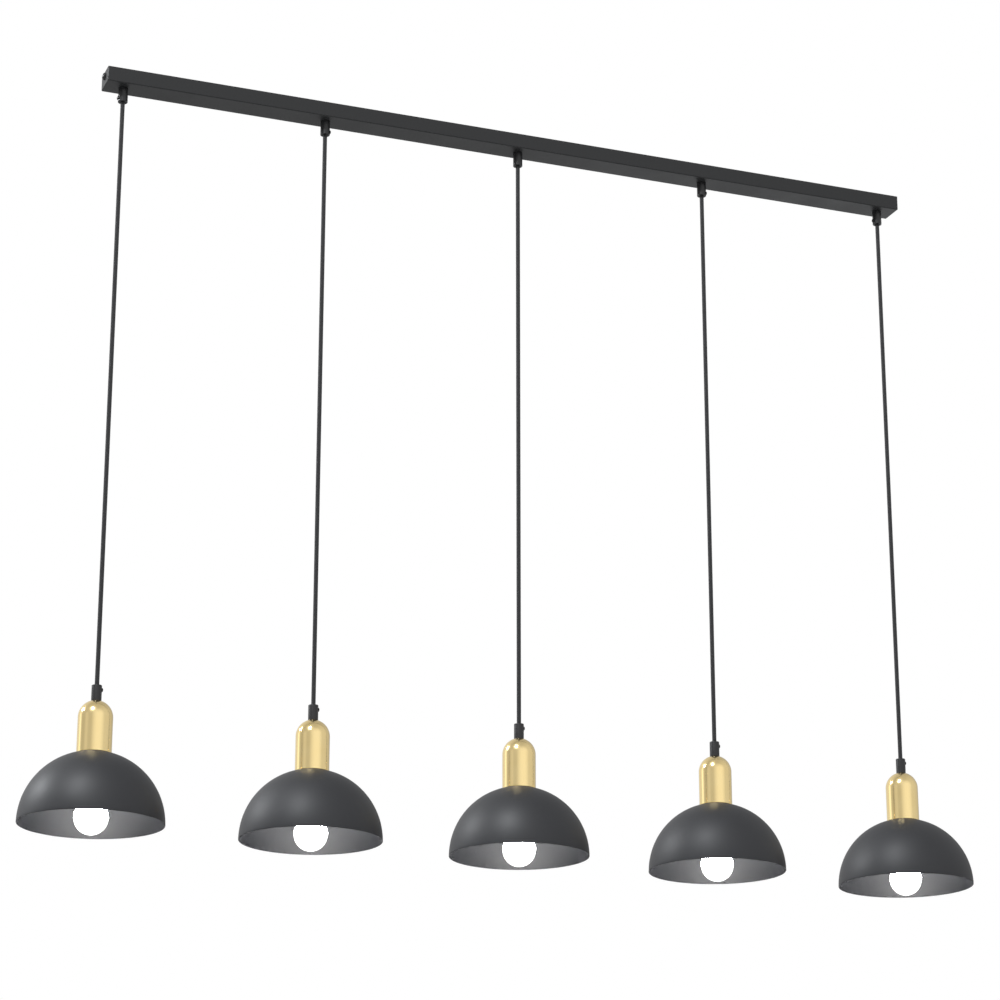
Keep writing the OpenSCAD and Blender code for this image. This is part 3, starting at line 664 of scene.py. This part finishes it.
# the stud starts inside the bar's floor, so it doesn't show below
studTop = -barHeight + barSize["sheet"] + studSize["length"]
stud = turned([(0, -barHeight + studSize["bottom"]), (studSize["radius"], -barHeight + studSize["bottom"]),
               (studSize["radius"], studTop - studSize["chamfer"]),
               (studSize["radius"] - studSize["chamfer"], studTop), (0, studTop)], closed=False)
rim, top, ease = washerSize["radius"], washerSize["thickness"], washerSize["ease"]
washer = turned([(studSize["bore"], 0), (rim - ease, 0), (rim, ease), (rim, top - ease), (rim - ease, top),
                 (studSize["bore"], top)])
baseNut = hexNut(studSize["nutAcross"], studSize["baseNut"], studSize["bore"])
topNut = hexNut(studSize["nutAcross"], studSize["topNut"], studSize["bore"])
stack = ((stud, 0), (baseNut, floorTop), (washer, washerHeight), (topNut, topNutHeight))
placePiece("earthTerminal", joined([(shape, (studSize["x"], 0, z)) for shape, z in stack]), threadBrass,
           "canopy", stands=("earth_terminal",))
locknutSize = {"across": 14, "height": 3, "bore": 5.05}
locknut = hexNut(**locknutSize)
placePiece("tubeLocknuts", joined([(locknut, (1000 * x, 0, floorTop)) for x in pendantX.values()]),
           zincSteel, "canopy", stands=("locknuts",))

print("studio")
# the floor of a tall studio, low enough to look up at the light from far under it; the camera sees it
# paler than it lights the object, and mirrors show some of that
floorSettings = {"halfWidth": 200, "height": -4.6, "patches": 3.0, "paleness": 0.86, "mirroredPaleness": 0.2}
floorMesh = bpy.data.meshes.new("floor")
floorShape = bmesh.new()
bmesh.ops.create_grid(floorShape, x_segments=1, y_segments=1, size=floorSettings["halfWidth"])
floorShape.to_mesh(floorMesh)
floorMesh.transform(Matrix.Translation((0, 0, floorSettings["height"])))
floor = bpy.data.objects.new("floor", floorMesh)
bpy.context.scene.collection.objects.link(floor)
floorFinish, floorTree, floorShader, floorPlace = newFinish("paleFloor", Roughness=0.8)
floorNoise = addNode(floorTree, "ShaderNodeTexNoise", {"Vector": floorPlace, "Scale": floorSettings["patches"]})
floorTree.links.new(mixColours(floorTree, floorNoise.outputs["Fac"], "#dedede", "#e2e2e2"),
                    floorShader.inputs["Base Color"])
floorRays = addNode(floorTree, "ShaderNodeLightPath").outputs
floorGlow = addNode(floorTree, "ShaderNodeEmission", {"Color": white, "Strength": 1.0})
mirrorRays = addNode(floorTree, "ShaderNodeMath",
                     {0: floorRays["Is Glossy Ray"], 1: floorRays["Is Transmission Ray"]}, operation="MAXIMUM")
mirrorShare = addNode(floorTree, "ShaderNodeMath",
                      {0: mirrorRays.outputs[0], 1: floorSettings["mirroredPaleness"]}, operation="MULTIPLY")
floorShare = addNode(floorTree, "ShaderNodeMath", {0: floorRays["Is Camera Ray"], 1: floorSettings["paleness"],
                                                   2: mirrorShare.outputs[0]}, operation="MULTIPLY_ADD")
floorMix = addNode(floorTree, "ShaderNodeMixShader", {0: floorShare.outputs[0], 1: floorShader.outputs["BSDF"],
                                                      2: floorGlow.outputs["Emission"]})
floorTree.links.new(floorMix.outputs["Shader"], floorTree.get_output_node("ALL").inputs["Surface"])
floorMesh.materials.append(floorFinish)

# what shiny surfaces see of the studio: an even grey room with soft glows round the light,
# given as degrees to the right of the camera, height in degrees, half width in degrees, and strength
studioSettings = {"mirroredGrey": 0.48, "roomLight": 0.42, "backdrop": 1.0}
studioGlows = (
    (0, 15, 110, 0.14),
    (27, 12, 42, 0.44),
    (92, 15, 60, 0.22),
    (-50, 12, 15, 0.16),
    (-105, 12, 13, 0.70),
    (-140, 20, 55, 0.36),
)
world = bpy.data.worlds.new("studio")
bpy.context.scene.world = world
world.use_nodes = True
studio = world.node_tree
studio.nodes.clear()
cameraBearing = math.atan2(cameraSettings["place"][1], cameraSettings["place"][0])


def aroundLight(degreesRight, distance, height):
    # a place round the light, by its bearing to the right of the camera as the middle shade sees it
    bearing = cameraBearing + math.radians(degreesRight)
    return (distance * math.cos(bearing), distance * math.sin(bearing), height)


direction = addNode(studio, "ShaderNodeTexCoord").outputs["Generated"]
brightness = studioSettings["mirroredGrey"]
for degreesRight, rise, halfWidth, strength in studioGlows:
    towards = Vector(aroundLight(degreesRight, 1, math.tan(math.radians(rise)))).normalized()
    nearness = addNode(studio, "ShaderNodeVectorMath", {0: direction, 1: towards}, operation="DOT_PRODUCT")
    glow = spread(studio, nearness.outputs["Value"], 0.0, strength, math.cos(math.radians(halfWidth)), 1.0)
    brightness = addNode(studio, "ShaderNodeMath", {0: brightness, 1: glow}, operation="ADD").outputs[0]
mirrored = addNode(studio, "ShaderNodeBackground", {"Color": white, "Strength": brightness})
roomLight = addNode(studio, "ShaderNodeBackground", {"Color": white, "Strength": studioSettings["roomLight"]})
backdrop = addNode(studio, "ShaderNodeBackground", {"Color": white, "Strength": studioSettings["backdrop"]})
rays = addNode(studio, "ShaderNodeLightPath").outputs
reflected = addNode(studio, "ShaderNodeMixShader", {0: rays["Is Glossy Ray"], 1: roomLight.outputs[0],
                                                    2: mirrored.outputs[0]})
seen = addNode(studio, "ShaderNodeMath", {0: rays["Is Camera Ray"], 1: rays["Is Transmission Ray"]},
               operation="MAXIMUM")
sky = addNode(studio, "ShaderNodeMixShader",
              {0: seen.outputs[0], 1: reflected.outputs[0], 2: backdrop.outputs[0]})
addNode(studio, "ShaderNodeOutputWorld", {"Surface": sky.outputs[0]})


def addSoftbox(name, place, width, height, radiance, target=(0, 0, -1.05)):
    # radiance 1 shows as plain white in a mirror, a touch cool
    lamp = bpy.data.lights.new(name, "AREA")
    lamp.shape = "RECTANGLE"
    lamp.color = (0.94, 0.97, 1.0)
    lamp.size = width
    lamp.size_y = height
    lamp.energy = radiance * math.pi * width * height
    softbox = bpy.data.objects.new(name, lamp)
    softbox.location = place
    softbox.rotation_euler = (Vector(target) - Vector(place)).to_track_quat("-Z", "Y").to_euler()
    softbox.visible_camera = False
    bpy.context.scene.collection.objects.link(softbox)


# two tall softboxes high on the left, one in front and one behind: the soft patches on the domes
# and the two glints on each cup; they stand far off, so that every pendant shows them alike
addSoftbox("frontSoftbox", aroundLight(-23, 6.14, 5.53), width=0.7, height=1.6, radiance=146)
addSoftbox("backSoftbox", aroundLight(-98, 7.5, 3.9), width=0.65, height=1.4, radiance=119)
# a low panel far behind on the right, which the right half of the bar's underside mirrors
addSoftbox("lowPanel", (3.6, 5.2, -2.3), width=2.4, height=1.6, radiance=0.9, target=(0.6, 0, 0))
